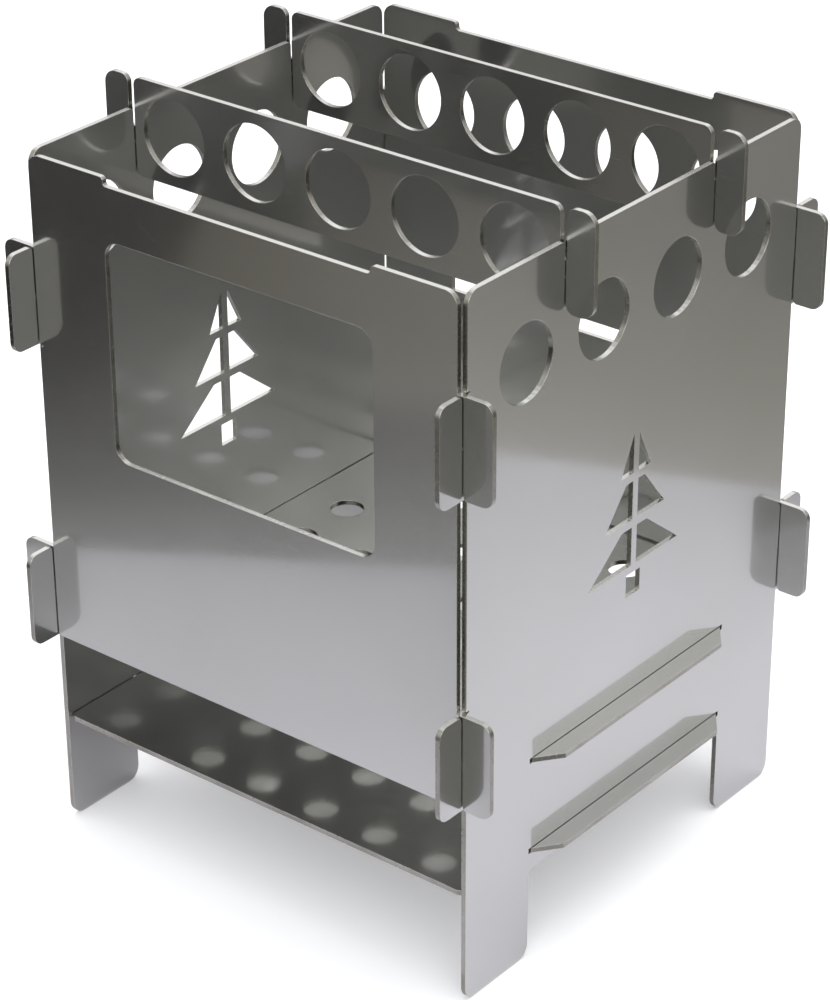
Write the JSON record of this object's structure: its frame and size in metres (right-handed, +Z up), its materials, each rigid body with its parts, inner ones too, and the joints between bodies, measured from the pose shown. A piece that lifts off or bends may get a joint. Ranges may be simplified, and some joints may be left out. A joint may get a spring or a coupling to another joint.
{
  "type": "flat-pack twig stove",
  "caption": "Flat-pack twig stove: open box of slotted stainless sheets with a stoking window, round vents, a punched grate over an ash tray, and hooked pot supports on top.",
  "frame": {"origin": "on the ground, under the middle of the box", "axes": "+Z up, towards the pot; +X to the right as seen by someone facing the stoking window; +Y away from that person, from the front plate to the back plate"},
  "size_m": [0.1688, 0.171, 0.2227],
  "materials": {
    "stainless_sheet": "semi-bright brushed stainless sheet with fine handling scratches"
  },
  "bodies": {
    "base": {"left_plate": "stainless_sheet", "right_plate": "stainless_sheet", "fire_grate": "stainless_sheet", "ash_tray": "stainless_sheet"},
    "front_wall": {"front_plate": "stainless_sheet"},
    "back_wall": {"back_plate": "stainless_sheet"},
    "front_support": {"front_trivet": "stainless_sheet"},
    "rear_support": {"rear_trivet": "stainless_sheet"}
  },
  "joints": [
    {"name": "front_plate_lift", "type": "slide", "parent": "base", "child": "front_wall", "axis": [0, 0, 1], "range_m": [0, 0.06]},
    {"name": "back_plate_lift", "type": "slide", "parent": "base", "child": "back_wall", "axis": [0, 0, 1], "range_m": [0, 0.06]},
    {"name": "front_trivet_lift", "type": "slide", "parent": "base", "child": "front_support", "axis": [0, 0, 1], "range_m": [0, 0.04]},
    {"name": "rear_trivet_lift", "type": "slide", "parent": "base", "child": "rear_support", "axis": [0, 0, 1], "range_m": [0, 0.04]}
  ]
}
